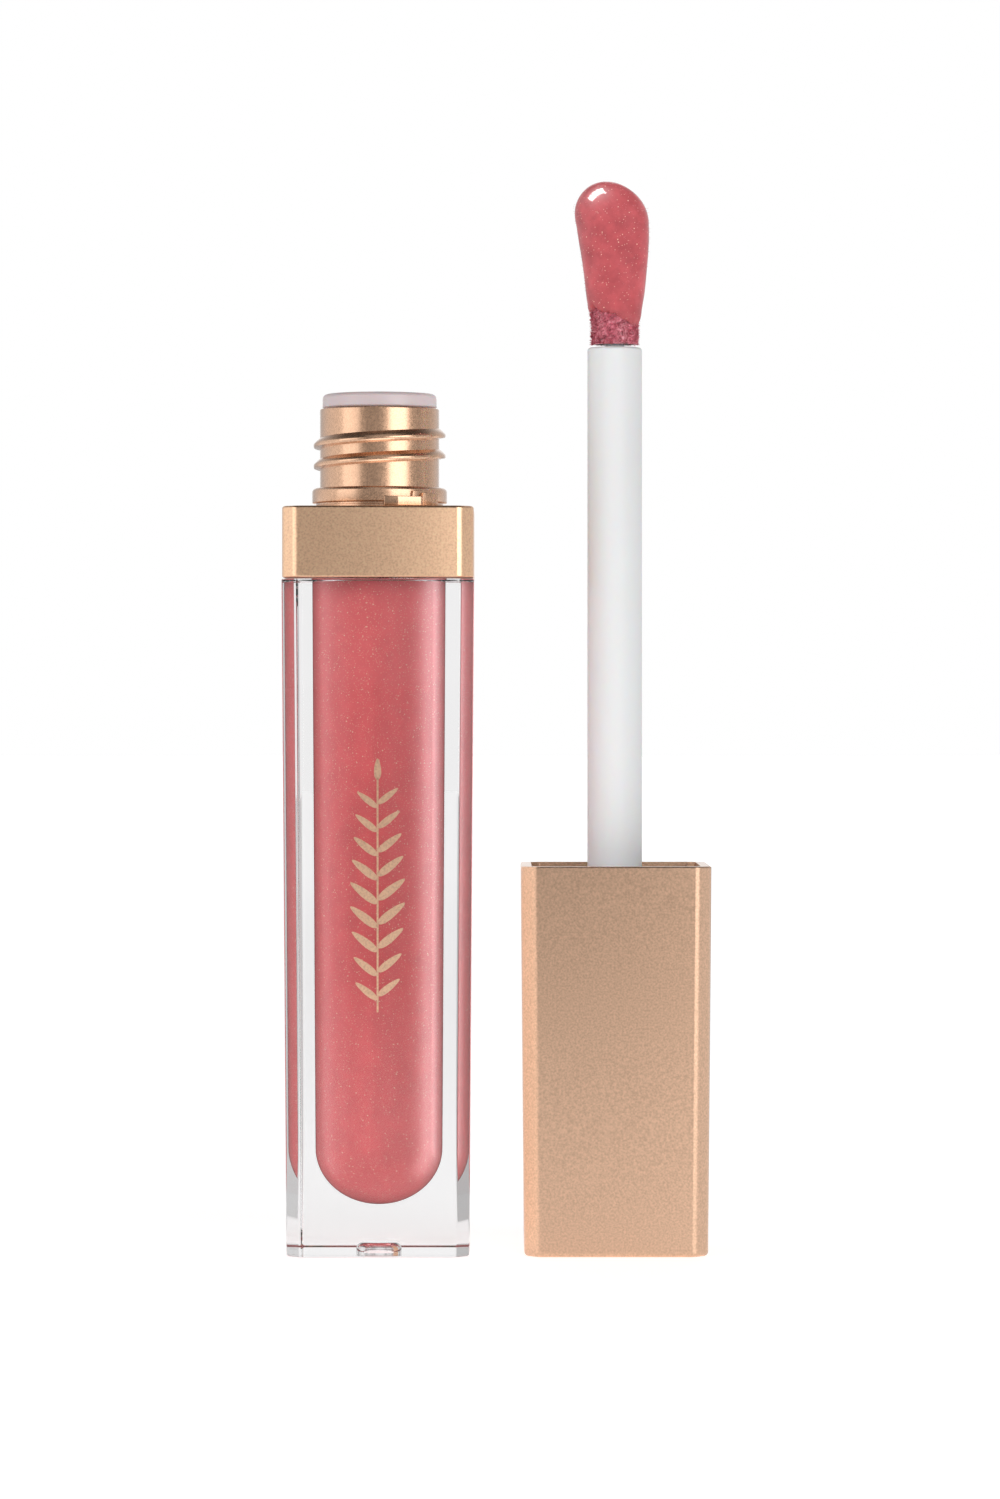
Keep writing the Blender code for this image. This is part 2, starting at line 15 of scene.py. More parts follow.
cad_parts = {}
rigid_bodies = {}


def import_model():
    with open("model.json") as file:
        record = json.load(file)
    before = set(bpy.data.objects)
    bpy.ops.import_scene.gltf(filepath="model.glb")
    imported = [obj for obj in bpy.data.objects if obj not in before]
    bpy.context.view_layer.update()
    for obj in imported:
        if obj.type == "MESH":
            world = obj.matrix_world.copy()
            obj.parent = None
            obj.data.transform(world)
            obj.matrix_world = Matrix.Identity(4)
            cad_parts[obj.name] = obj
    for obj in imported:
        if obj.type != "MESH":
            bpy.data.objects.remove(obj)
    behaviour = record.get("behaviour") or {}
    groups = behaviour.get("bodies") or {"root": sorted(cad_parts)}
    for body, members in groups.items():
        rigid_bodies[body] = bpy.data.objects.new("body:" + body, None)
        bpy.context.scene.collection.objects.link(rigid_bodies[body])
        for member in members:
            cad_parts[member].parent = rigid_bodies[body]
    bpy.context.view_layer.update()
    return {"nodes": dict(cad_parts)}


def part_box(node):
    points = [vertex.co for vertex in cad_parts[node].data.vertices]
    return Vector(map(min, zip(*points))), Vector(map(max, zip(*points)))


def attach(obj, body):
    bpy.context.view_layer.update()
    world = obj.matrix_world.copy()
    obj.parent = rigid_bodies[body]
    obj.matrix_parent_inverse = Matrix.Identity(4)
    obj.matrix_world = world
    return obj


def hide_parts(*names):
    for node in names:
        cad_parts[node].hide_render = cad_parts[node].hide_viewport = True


MM = 0.001


# ---------------------------------------------------------------- tools


def clear_scene():
    for old in list(bpy.data.objects):
        bpy.data.objects.remove(old, do_unlink=True)


def from_bmesh(name, built, material, sharp=34.0):
    """An object from a bmesh, smooth except along edges sharper than sharp degrees."""
    mesh = bpy.data.meshes.new(name)
    built.to_mesh(mesh)
    built.free()
    mesh.polygons.foreach_set("use_smooth", [True] * len(mesh.polygons))
    mesh.set_sharp_from_angle(angle=math.radians(sharp))
    mesh.materials.append(material)
    made = bpy.data.objects.new(name, mesh)
    bpy.context.scene.collection.objects.link(made)
    return made


def lathe(name, profile, x, material, steps=144, closed=True):
    """A turned solid about the upright line at x.

    The profile runs top to bottom on its outer side. If closed, its last point meets its first.
    """
    built = bmesh.new()
    rings = []
    for radius, height in profile:
        if radius < 1e-7:
            rings.append([built.verts.new((x, 0.0, height))])
            continue
        angles = [2 * math.pi / steps * i for i in range(steps)]
        ring = [(x + radius * math.cos(a), radius * math.sin(a), height) for a in angles]
        rings.append([built.verts.new(point) for point in ring])
    pairs = list(zip(rings, rings[1:]))
    if closed:
        pairs.append((rings[-1], rings[0]))
    for upper, lower in pairs:
        for i in range(steps):
            j = (i + 1) % steps
            a, b = upper[i % len(upper)], upper[j % len(upper)]
            c, d = lower[j % len(lower)], lower[i % len(lower)]
            corners = [a, d, c, b]
            face = [v for k, v in enumerate(corners) if v is not corners[k - 1]]
            if len(face) > 2:
                built.faces.new(face)
    return from_bmesh(name, built, material)


def arc(centre, radius, first, last, count):
    """Points along an arc, from the first angle to the last in degrees."""
    angles = [math.radians(first + (last - first) * i / count) for i in range(count + 1)]
    return [(centre[0] + radius * math.cos(a), centre[1] + radius * math.sin(a)) for a in angles]


def loft(name, sections, material, sharp):
    """A solid through closed sections with equal numbers of points."""
    built = bmesh.new()
    loops = [[built.verts.new(point) for point in section] for section in sections]
    count = len(loops[0])
    for here, there in zip(loops, loops[1:]):
        for i in range(count):
            j = (i + 1) % count
            built.faces.new((here[i], here[j], there[j], there[i]))
    built.faces.new(reversed(loops[0]))
    built.faces.new(loops[-1])
    bmesh.ops.recalc_face_normals(built, faces=built.faces)
    return from_bmesh(name, built, material, sharp)


def block(
    name, low_width, high_width, low, high, chamfer, x, upright, low_round, high_round, material
):
    """A tapered square block with cut corners, from the height low to high.

    upright rounds the edges of the cuts, and low_round and high_round the block's rims.
    """
    built = bmesh.new()
    bmesh.ops.create_cube(built, size=1.0)
    for vertex in built.verts:
        width, height = (high_width, high) if vertex.co.z > 0 else (low_width, low)
        vertex.co.x *= width
        vertex.co.y *= width
        vertex.co.z = height

    def standing():
        return [e for e in built.edges if abs(e.verts[0].co.z - e.verts[1].co.z) > (high - low) / 2]

    def bevel(edges, offset, segments):
        bmesh.ops.bevel(built, geom=edges, offset=offset, segments=segments, profile=0.5, affect="EDGES")

    bevel(standing(), chamfer, 1)
    bevel(standing(), upright, 5)
    for height, radius in ((low, low_round), (high, high_round)):
        if radius:
            bevel([e for e in built.edges if all(abs(v.co.z - height) < 1e-6 for v in e.verts)], radius, 6)
    bmesh.ops.translate(built, verts=built.verts, vec=(x, 0.0, 0.0))
    return from_bmesh(name, built, material, 20.0)


def apply_modifiers(piece):
    bpy.context.view_layer.update()
    evaluated = piece.evaluated_get(bpy.context.evaluated_depsgraph_get())
    done = bpy.data.meshes.new_from_object(evaluated)
    piece.modifiers.clear()
    piece.data = done


def cut(piece, tool, operation="DIFFERENCE"):
    """Applies a Boolean, and removes its tool."""
    modifier = piece.modifiers.new("cut", "BOOLEAN")
    modifier.operation = operation
    modifier.solver = "EXACT"
    modifier.object = tool
    apply_modifiers(piece)
    piece.data.set_sharp_from_angle(angle=math.radians(20.0))
    bpy.data.objects.remove(tool, do_unlink=True)


def weigh(piece):
    """Bends the normals only over the narrow rounded edges, so that the large faces shade flat."""
    modifier = piece.modifiers.new("weigh", "WEIGHTED_NORMAL")
    modifier.keep_sharp = True
    apply_modifiers(piece)


def crown(piece, degrees):
    """Bows the shading of the large upright faces, up to this much at their sides."""
    weigh(piece)
    large = 30 * MM * MM
    bow = math.tan(math.radians(degrees))
    mesh = piece.data
    normals = [corner.vector.copy() for corner in mesh.corner_normals]
    for polygon in mesh.polygons:
        if polygon.area < large or abs(polygon.normal.z) > 0.1:
            continue
        across = polygon.normal.cross(Vector((0.0, 0.0, 1.0))).normalized()
        offsets = [(mesh.vertices[v].co - polygon.center).dot(across) for v in polygon.vertices]
        half = max(abs(offset) for offset in offsets)
        for corner, offset in zip(polygon.loop_indices, offsets):
            normals[corner] = (polygon.normal + across * (bow * offset / half)).normalized()
    mesh.normals_split_custom_set(normals)


def join(first, *others):
    """Puts the others' meshes into the first's object."""
    built = bmesh.new()
    for part in (first, *others):
        built.from_mesh(part.data)
    material = first.data.materials[0]
    name = first.name
    for part in (first, *others):
        bpy.data.objects.remove(part, do_unlink=True)
    return from_bmesh(name, built, material, 30.0)


def smooth_step(value):
    value = min(max(value, 0.0), 1.0)
    return value * value * (3 - 2 * value)


def ridge(name, x, first, last, crest_height, root, crest, flanks, half, fade, material):
    """A helical ridge from root to crest radius, between two angles in degrees.

    flanks are its lengths above and below the crest, half is half of the crest's own height, and the ridge
    rises over the first fade degrees and sinks over the last ones.
    """
    sunk = -0.12 * MM
    count = round((last - first) / 360 * 120)
    sections = []
    for i in range(count + 1):
        degrees = first + (last - first) * i / count
        rise = smooth_step(min(degrees - first, last - degrees) / fade)
        tip = root + sunk / 2 + (crest - root - sunk / 2) * rise
        middle = crest_height(degrees)
        above, below = flanks[0] + half, flanks[1] + half
        edge = (crest - root) * 0.07 * rise
        outline = (
            (root + sunk, middle + above),
            (root + (tip - root) * 0.45, middle + half + (above - half) * 0.5),
            (tip - edge, middle + half * 1.1),
            (tip, middle + half * 0.5),
            (tip, middle - half * 0.5),
            (tip - edge, middle - half * 1.1),
            (root + sunk, middle - below),
        )
        angle = math.radians(degrees)
        sections.append([(x + r * math.cos(angle), r * math.sin(angle), z) for r, z in outline])
    return loft(name, sections, material, 60.0)


# ---------------------------------------------------------------- materials


class Nodes:
    """Short-hand for building a material's nodes."""

    def __init__(self, name, **sockets):
        self.material = bpy.data.materials.new(name)
        self.material.use_nodes = True
        self.tree = self.material.node_tree
        self.shader = self.tree.nodes["Principled BSDF"]
        for socket, value in sockets.items():
            self.shader.inputs[socket.replace("_", " ")].default_value = value

    def node(self, kind, settings=None, **inputs):
        made = self.tree.nodes.new("ShaderNode" + kind)
        for key, value in (settings or {}).items():
            setattr(made, key, value)
        for key, value in inputs.items():
            self.put(value, made.inputs[key.replace("_", " ")])
        return made

    def put(self, value, socket):
        if isinstance(value, bpy.types.NodeSocket):
            self.tree.links.new(value, socket)
        else:
            socket.default_value = value

    def place(self):
        return self.node("TexCoord").outputs["Object"]

    def noise(self, scale, detail=2.0, roughness=0.5, at=None):
        at = at or self.place()
        made = self.node("TexNoise", Vector=at, Scale=scale, Detail=detail, Roughness=roughness)
        return made.outputs["Fac"]

    def cells(self, scale):
        return self.node("TexVoronoi", Vector=self.place(), Scale=scale)

    def ramp(self, value, stops):
        """A colour band. stops holds (position, colour)."""
        made = self.node("ValToRGB", Fac=value)
        band = made.color_ramp
        while len(band.elements) < len(stops):
            band.elements.new(0.5)
        for element, (position, colour) in zip(band.elements, stops):
            element.position = position
            element.color = (*colour, 1.0)
        return made.outputs["Color"]

    def span(self, value, low, high, to_low, to_high):
        """Maps the stretch from low to high to another one, and clamps what lies outside."""
        made = self.node("MapRange", Value=value, From_Min=low, From_Max=high, To_Min=to_low, To_Max=to_high)
        return made.outputs["Result"]

    def maths(self, kind, a, b=0.0):
        made = self.node("Math", {"operation": kind})
        self.put(a, made.inputs[0])
        self.put(b, made.inputs[1])
        return made.outputs[0]

    def mix(self, share, a, b, blend="MIX"):
        made = self.node("Mix", {"data_type": "RGBA", "blend_type": blend})
        self.put(share, made.inputs[0])
        for socket, value in ((made.inputs[6], a), (made.inputs[7], b)):
            self.put(value if isinstance(value, bpy.types.NodeSocket) else (*value, 1.0), socket)
        return made.outputs[2]

    def bump(self, height, strength, distance):
        made = self.node("Bump", Strength=strength, Distance=distance, Height=height)
        self.put(made.outputs["Normal"], self.shader.inputs["Normal"])

    def set(self, **sockets):
        for socket, value in sockets.items():
            self.put(value, self.shader.inputs[socket.replace("_", " ")])
        return self.material


def gold(name, base, rough, relief=0.05, coat=0.0):
    """Satin lacquer over metal: a fine grain in its colour, its shine and its surface."""
    made = Nodes(name, Metallic=1.0, Coat_Weight=coat, Coat_IOR=1.5, Coat_Roughness=0.18)
    grain = made.noise(5200.0, 1.0, 0.5)
    coarse = made.noise(1500.0, 2.0, 0.6)
    dark, light = [c * 0.84 for c in base], [min(c * 1.14, 1.0) for c in base]
    colour = made.ramp(grain, [(0.28, dark), (0.52, base), (0.74, light)])
    colour = made.mix(made.span(coarse, 0.3, 0.7, 0.0, 0.12), colour, [c * 0.88 for c in base])
    made.bump(made.maths("ADD", grain, made.maths("MULTIPLY", coarse, 0.5)), relief, 0.03 * MM)
    return made.set(Base_Color=colour, Roughness=made.span(grain, 0.3, 0.7, rough - 0.02, rough + 0.03))


def clear_plastic():
    """Thick clear plastic. Lamps shine through it on to what it holds."""
    made = Nodes("clear_plastic", Transmission_Weight=1.0, IOR=1.49, Roughness=0.0)
    made.shader.inputs["Base Color"].default_value = (0.84, 0.835, 0.838, 1.0)
    waves = made.noise(160.0, 1.0, 0.4)
    made.bump(waves, 0.02, 0.02 * MM)
    through = made.node("BsdfTransparent")
    through.inputs["Color"].default_value = (0.95, 0.95, 0.95, 1.0)
    path = made.node("LightPath")
    both = made.node("MixShader")
    made.tree.links.new(path.outputs["Is Shadow Ray"], both.inputs[0])
    made.tree.links.new(made.shader.outputs[0], both.inputs[1])
    made.tree.links.new(through.outputs[0], both.inputs[2])
    made.tree.links.new(both.outputs[0], made.tree.nodes["Material Output"].inputs["Surface"])
    return made.material


GLOSS = (0.90, 0.157, 0.167)
WET_GLOSS = (0.55, 0.105, 0.118)

# Each kind of fleck: cells per metre, size in cells, share of cells left out, strength.
GLOSS_FLECKS = (
    (6200.0, 0.27, 0.25, 0.35),
    (4200.0, 0.22, 0.35, 0.50),
    (2600.0, 0.17, 0.45, 0.85),
    (1700.0, 0.13, 0.55, 1.0),
)
COAT_FLECKS = (
    (3600.0, 0.2, 0.45, 0.5),
    (1900.0, 0.12, 0.55, 1.0),
)


def flecks(made, colour, kinds, tint):
    """Mixes small bright flecks into a colour."""
    for scale, size, share, strength in kinds:
        fleck = made.cells(scale)
        near = made.span(fleck.outputs["Distance"], size * 0.6, size, strength, 0.0)
        pick = made.node("TexWhiteNoise", {"noise_dimensions": "3D"}, Vector=fleck.outputs["Position"])
        chosen = made.maths("GREATER_THAN", pick.outputs["Value"], share)
        colour = made.mix(made.maths("MULTIPLY", near, chosen), colour, tint)
    return colour


def gloss_body():
    """Pink gloss with a pearl sheen, darker where it is seen edge on, and with fine glitter."""
    made = Nodes(
        "pink_gloss",
        IOR=1.8,
        Roughness=0.42,
        Subsurface_Weight=0.2,
        Subsurface_Scale=0.001,
        Coat_Weight=1.0,
        Coat_IOR=1.0,
        Coat_Roughness=0.5,
    )
    made.shader.inputs["Subsurface Radius"].default_value = (1.0, 0.45, 0.4)
    made.shader.inputs["Specular Tint"].default_value = (1.0, 0.72, 0.75, 1.0)
    made.shader.inputs["Coat Tint"].default_value = (0.91, 0.88, 0.88, 1.0)
    pearl = made.noise(420.0, 4.0, 0.6)
    dark, light = [c * 0.93 for c in GLOSS], [min(c * 1.08, 1.0) for c in GLOSS]
    colour = made.ramp(pearl, [(0.3, dark), (0.7, light)])
    return made.set(Base_Color=flecks(made, colour, GLOSS_FLECKS, (1.0, 0.74, 0.52)))


def wet_gloss():
    """The thin gloss on the tip: darker than the gloss in the bottle, under a clear wet shine."""
    made = Nodes(
        "wet_gloss",
        IOR=1.3,
        Specular_IOR_Level=0.3,
        Roughness=0.4,
        Subsurface_Weight=0.3,
        Subsurface_Scale=0.0008,
        Coat_Weight=1.0,
        Coat_IOR=1.27,
        Coat_Roughness=0.04,
    )
    made.shader.inputs["Subsurface Radius"].default_value = (1.0, 0.4, 0.35)
    pearl = made.noise(500.0, 4.0, 0.6)
    dark, light = [c * 0.78 for c in WET_GLOSS], [c * 1.2 for c in WET_GLOSS]
    colour = made.ramp(pearl, [(0.3, dark), (0.7, light)])
    made.bump(made.noise(650.0, 2.0, 0.5), 0.10, 0.1 * MM)
    return made.set(Base_Color=flecks(made, colour, COAT_FLECKS, (1.0, 0.72, 0.58)))


def flock_material():
    made = Nodes("wet_flock", Roughness=0.28, Sheen_Weight=0.15, Specular_IOR_Level=0.9)
    shade = made.noise(2600.0, 3.0, 0.7)
    dark, middle, light = (0.33, 0.034, 0.058), (0.74, 0.125, 0.19), (1.0, 0.42, 0.50)
    made.bump(shade, 0.6, 0.1 * MM)
    return made.set(Base_Color=made.ramp(shade, [(0.3, dark), (0.5, middle), (0.72, light)]))


def plastic(name, colour, rough, scatter, grain):
    """Moulded plastic. scatter is the share of light that spreads inside it, and grain its skin's relief."""
    made = Nodes(name, IOR=1.5, Subsurface_Weight=scatter, Subsurface_Scale=0.001)
    fine = made.noise(1800.0, 1.0, 0.5)
    broad = made.noise(60.0, 2.0, 0.5)
    low, high = [c * 0.975 for c in colour], [min(c * 1.015, 1.0) for c in colour]
    made.bump(fine, grain, 0.02 * MM)
    return made.set(
        Base_Color=made.mix(made.span(broad, 0.3, 0.7, 0.0, 1.0), low, high),
        Roughness=made.span(fine, 0.3, 0.7, rough - 0.02, rough + 0.02),
    )


def foam_material():
    made = Nodes("white_foam", Roughness=0.85, Subsurface_Weight=0.1)
    cells = made.cells(4500.0).outputs["Distance"]
    made.bump(cells, 0.5, 0.06 * MM)
    # Each cell's pit, which the bump dents, is painted darker: painted shade in the pores.
    return made.set(Base_Color=made.ramp(cells, [(0.0, (0.62, 0.62, 0.61)), (0.5, (0.86, 0.86, 0.85))]))


def steel_material():
    made = Nodes("plated_steel", Metallic=1.0)
    brushed = made.node("Mapping", Vector=made.place())
    brushed.inputs["Scale"].default_value = (400.0, 400.0, 9000.0)
    lines = made.noise(1.0, 3.0, 0.6, at=brushed.outputs["Vector"])
    made.bump(lines, 0.1, 0.02 * MM)
    return made.set(
        Base_Color=made.ramp(lines, [(0.3, (0.50, 0.50, 0.52)), (0.7, (0.66, 0.66, 0.68))]),
        Roughness=made.span(lines, 0.3, 0.7, 0.24, 0.42),
    )


def floor_material():
    """A white floor that glows as brightly as what is behind the object, and less in front of the camera.

    Seen through the bottle or mirrored, it has two darker wedges of painted shade behind the bottle, which
    draw the bottle's cut corners as dark lines.
    """
    made = Nodes("floor", Roughness=0.6, Specular_IOR_Level=0.15)
    made.shader.inputs["Emission Color"].default_value = (1.0, 1.0, 1.0, 1.0)
    split = made.node("SeparateXYZ", Vector=made.place())
    x, y = split.outputs["X"], split.outputs["Y"]
    front = made.span(y, -0.42, -0.17, 0.05, 0.65)
    glow = made.maths("ADD", front, made.span(y, 0.2, 1.6, 0.0, 0.12))

    # The painted shade wedges start beside the bottle, and lie between two slanting lines.
    aside = made.maths("ABSOLUTE", made.maths("SUBTRACT", x, BX))
    past = made.maths("SUBTRACT", aside, made.maths("MULTIPLY", y, 0.041))
    slant = made.maths("DIVIDE", aside, made.maths("MAXIMUM", y, 0.002))
    shares = (
        made.span(past, 0.0076, 0.0090, 0.0, 1.0),
        made.span(slant, 0.8, 1.3, 1.0, 0.0),
        made.span(y, 0.012, 0.02, 0.0, 1.0),
        made.span(x, BX - 0.002, BX + 0.002, 0.52, 0.40),
    )
    painted_shade_wedge = made.maths("SUBTRACT", 1.0, made.node("LightPath").outputs["Is Camera Ray"])
    for share in shares:
        painted_shade_wedge = made.maths("MULTIPLY", painted_shade_wedge, share)

    # Painted shade: inside the wedges the floor glows less and is black.
    glow = made.maths("MULTIPLY", glow, made.maths("SUBTRACT", 1.0, painted_shade_wedge))
    grain = made.noise(40.0, 2.0, 0.5)
    pale = made.ramp(grain, [(0.3, (0.94, 0.94, 0.94)), (0.7, (0.96, 0.96, 0.96))])
    colour = made.mix(made.span(y, -0.45, -0.17, 1.0, 0.0), pale, (0.45, 0.45, 0.45))
    colour = made.mix(painted_shade_wedge, colour, (0.0, 0.0, 0.0))
    return made.set(Base_Color=colour, Emission_Strength=glow)


# ---------------------------------------------------------------- the frame


clear_scene()
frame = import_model()

bottle_low, bottle_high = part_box("outer_bottle")
cap_low, cap_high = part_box("over_cap")
collar_low, collar_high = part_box("collar")
NECK_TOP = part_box("threaded_neck")[1].z
WIPER_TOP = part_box("wiper")[1].z
stem_low, stem_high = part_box("wand_stem")

# The upright axes of the bottle and of the cap and wand.
BX = (collar_low.x + collar_high.x) / 2
CX = (stem_low.x + stem_high.x) / 2

CHAMFER = 1.25 * MM
TOP_WIDTH = bottle_high.x - bottle_low.x
BASE_WIDTH = 17.2 * MM
BODY_TOP = 63.65 * MM
BOSS_R, BOSS_FOOT, BOSS_TOP = 7.6 * MM, 61.0 * MM, bottle_high.z
CAVITY_FLOOR, BOWL = 4.55 * MM, 5.3 * MM
FLOOR_R, TOP_R = 6.0 * MM, 6.3 * MM
COLLAR_WIDTH = collar_high.x - collar_low.x
COLLAR_TOP = collar_high.z
LEDGE = COLLAR_TOP - 1.6 * MM
NECK_R, NECK_BORE = 5.68 * MM, 4.55 * MM
FLANGE_R, FLANGE_TOP, FLANGE_FOOT = 6.43 * MM, 72.45 * MM, 70.98 * MM
CREST_R, CREST_AT, PITCH = 6.29 * MM, 75.5 * MM, 1.96 * MM
THREAD_FROM, THREAD_TO = -270.0, 450.0
CAP_TOP = cap_high.z
STEM_TOP = stem_high.z + 0.15 * MM

gold_satin = gold("gold_satin", (0.69, 0.44, 0.295), 0.31, 0.05, 0.6)
gold_neck = gold("gold_neck", (0.70, 0.42, 0.265), 0.27, 0.015, 0.9)
clear = clear_plastic()
gloss = gloss_body()
coat_gloss = wet_gloss()
wet_flock = flock_material()
milky = plastic("milky_plastic", (0.74, 0.62, 0.63), 0.30, 0.25, 0.0)
white = plastic("white_plastic", (0.885, 0.895, 0.90), 0.36, 0.2, 0.03)
foam = foam_material()
steel = steel_material()
foil = gold("gold_foil", (0.95, 0.60, 0.40), 0.30)
# The collar's gold is the satin gold painted lighter: painted light, which shows the collar brighter than the
# cap.
gold_painted_lighter = gold("gold_collar_painted_lighter", (0.98, 0.62, 0.395), 0.31, 0.03, 0.35)


# ---------------------------------------------------------------- the bottle


def bowl(grow, top, count=28):
    """The cavity's outline, larger by grow, from the height top down to the middle of its floor."""
    end = CAVITY_FLOOR + BOWL
    slope = (TOP_R - FLOOR_R) / (BODY_TOP - end)
    points = [(0.0, top), (FLOOR_R + grow + slope * (top - end), top)]
    for i in range(count + 1):
        angle = math.pi / 2 * i / count
        points.append(((FLOOR_R + grow) * math.cos(angle), end - (BOWL + grow) * math.sin(angle)))
    points[-1] = (0.0, points[-1][1])
    return points


bottle = block(
    "clear_bottle", BASE_WIDTH, TOP_WIDTH, 0.0, BODY_TOP, CHAMFER, BX, 0.16 * MM, 0.24 * MM, 0.12 * MM, clear
)
boss = [(0.0, BOSS_TOP), (BOSS_R, BOSS_TOP), (BOSS_R, BOSS_FOOT), (0.0, BOSS_FOOT)]
cut(bottle, lathe("boss", boss, BX, clear, closed=False), "UNION")
cut(bottle, lathe("cavity", bowl(0.0, BOSS_TOP + 2 * MM), BX, clear, closed=False))
gate = [
    (0.0, 0.84 * MM),
    (0.9 * MM, 0.93 * MM),
    *arc((1.5 * MM, 0.32 * MM), 0.64 * MM, 88, 2, 10),
    (2.16 * MM, -1 * MM),
    (0.0, -1 * MM),
]
cut(bottle, lathe("gate", gate, BX, clear, steps=96, closed=False))
weigh(bottle)
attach(bottle, "bottle")
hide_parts("outer_bottle")

fill = lathe("gloss_in_bottle", bowl(0.012 * MM, BODY_TOP - 0.15 * MM), BX, gloss, steps=160, closed=False)
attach(fill, "bottle")
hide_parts("gloss_fill")

collar = block(
    "gold_collar",
    COLLAR_WIDTH,
    COLLAR_WIDTH,
    collar_low.z,
    COLLAR_TOP,
    CHAMFER,
    BX,
    0.42 * MM,
    0.12 * MM,
    0.26 * MM,
    gold_painted_lighter,
)
inside = [
    (0.0, COLLAR_TOP + MM),
    (6.5 * MM, COLLAR_TOP + MM),
    (6.5 * MM, COLLAR_TOP),
    (6.35 * MM, COLLAR_TOP - 0.15 * MM),
    (6.35 * MM, LEDGE),
    (7.9 * MM, LEDGE),
    (7.9 * MM, collar_low.z - MM),
    (0.0, collar_low.z - MM),
]
cut(collar, lathe("collar_bore", inside, BX, gold_painted_lighter, closed=False))
crown(collar, 5.0)
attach(collar, "bottle")
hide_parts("collar")

profile = [
    (NECK_BORE, NECK_TOP - 0.1 * MM),
    (NECK_BORE + 0.1 * MM, NECK_TOP),
    *arc((NECK_R - 0.16 * MM, NECK_TOP - 0.16 * MM), 0.16 * MM, 90, 0, 5),
    (NECK_R, FLANGE_TOP + 0.10 * MM),
    (NECK_R + 0.03 * MM, FLANGE_TOP - 0.04 * MM),
    (NECK_R + 0.12 * MM, FLANGE_TOP - 0.03 * MM),
    *arc((FLANGE_R - 0.42 * MM, FLANGE_TOP - 0.42 * MM), 0.42 * MM, 85, 0, 8),
    *arc((FLANGE_R - 0.14 * MM, FLANGE_FOOT + 0.14 * MM), 0.14 * MM, 0, -90, 4),
    (6.05 * MM, FLANGE_FOOT),
    (6.05 * MM, FLANGE_FOOT - 0.16 * MM),
    (6.28 * MM, FLANGE_FOOT - 0.22 * MM),
    (6.28 * MM, LEDGE - 0.05 * MM),
    (7.4 * MM, LEDGE - 0.3 * MM),
    (7.4 * MM, BOSS_TOP + 0.15 * MM),
    (6.1 * MM, BOSS_TOP + 0.15 * MM),
    (6.1 * MM, BODY_TOP + 0.3 * MM),
    (NECK_BORE, BODY_TOP + 0.3 * MM),
]
neck = lathe("gold_neck", profile, BX, gold_neck, steps=192)
thread = ridge(
    "neck_thread",
    BX,
    THREAD_FROM,
    THREAD_TO,
    lambda degrees: CREST_AT + PITCH * degrees / 360,
    NECK_R,
    CREST_R,
    (0.62 * MM, 0.2 * MM),
    0.17 * MM,
    50.0,
    gold_neck,
)


def lug(name, outline, inner, high, slant=0.0):
    """A block of the flange's stop lug, up to the height high, with rounded edges.

    Its outline is in mm about the neck's axis, and the inner points close it. slant moves the top of its
    first and last corners to the right.
    """
    low = COLLAR_TOP + 0.1 * MM
    built = bmesh.new()
    points = outline + inner
    under = [built.verts.new((BX + x * MM, y * MM, low)) for x, y in points]
    over = [built.verts.new((BX + x * MM, y * MM, high)) for x, y in points]
    for k in (0, len(points) - 1):
        over[k].co.x += slant * MM
    built.faces.new(over)
    built.faces.new(reversed(under))
    for i in range(len(points)):
        j = (i + 1) % len(points)
        built.faces.new((under[i], under[j], over[j], over[i]))
    bmesh.ops.recalc_face_normals(built, faces=built.faces)
    bmesh.ops.bevel(built, geom=built.edges[:], offset=0.07 * MM, segments=3, profile=0.5, affect="EDGES")
    return from_bmesh(name, built, gold_neck, 30.0)


lug_blocks = [
    lug(
        "lug_ledge",
        [(0.55, -6.64), (1.9, -6.6), (4.05, -5.7), (4.2, -5.55)],
        [(3.8, -4.7), (2.0, -5.5), (0.55, -5.8)],
        71.5 * MM,
    ),
    lug(
        "lug_stop",
        [(4.0, -5.6), (5.12, -4.86), (5.62, -4.2)],
        [(4.9, -3.7), (3.6, -4.7)],
        71.85 * MM,
        slant=0.28,
    ),
    lug("lug_back", [(3.08, -5.90), (4.25, -5.15)], [(3.8, -4.4), (2.8, -5.2)], 72.05 * MM, slant=0.22),
]
neck = join(neck, thread, *lug_blocks)
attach(neck, "bottle")
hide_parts("threaded_neck")

rim_r, rim_foot = 5.42 * MM, NECK_TOP + 0.05 * MM
sleeve = NECK_BORE - 0.05 * MM
profile = [
    (3.85 * MM, WIPER_TOP - 0.45 * MM),
    *arc((4.25 * MM, WIPER_TOP - 0.4 * MM), 0.4 * MM, 175, 100, 6),
    *arc((rim_r - 0.45 * MM, WIPER_TOP - 0.45 * MM), 0.45 * MM, 92, 4, 8),
    (rim_r + 0.02 * MM, rim_foot + 0.12 * MM),
    (rim_r - 0.1 * MM, rim_foot),
    (sleeve, rim_foot),
    (sleeve, 74.2 * MM),
    (sleeve - 0.1 * MM, 73.8 * MM),
    (3.25 * MM, 72.0 * MM),
    (2.96 * MM, 72.0 * MM),
    (2.96 * MM, 72.35 * MM),
    (3.85 * MM, 74.6 * MM),
]
wiper = lathe("milky_wiper", profile, BX, milky, steps=144)
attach(wiper, "bottle")
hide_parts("wiper")


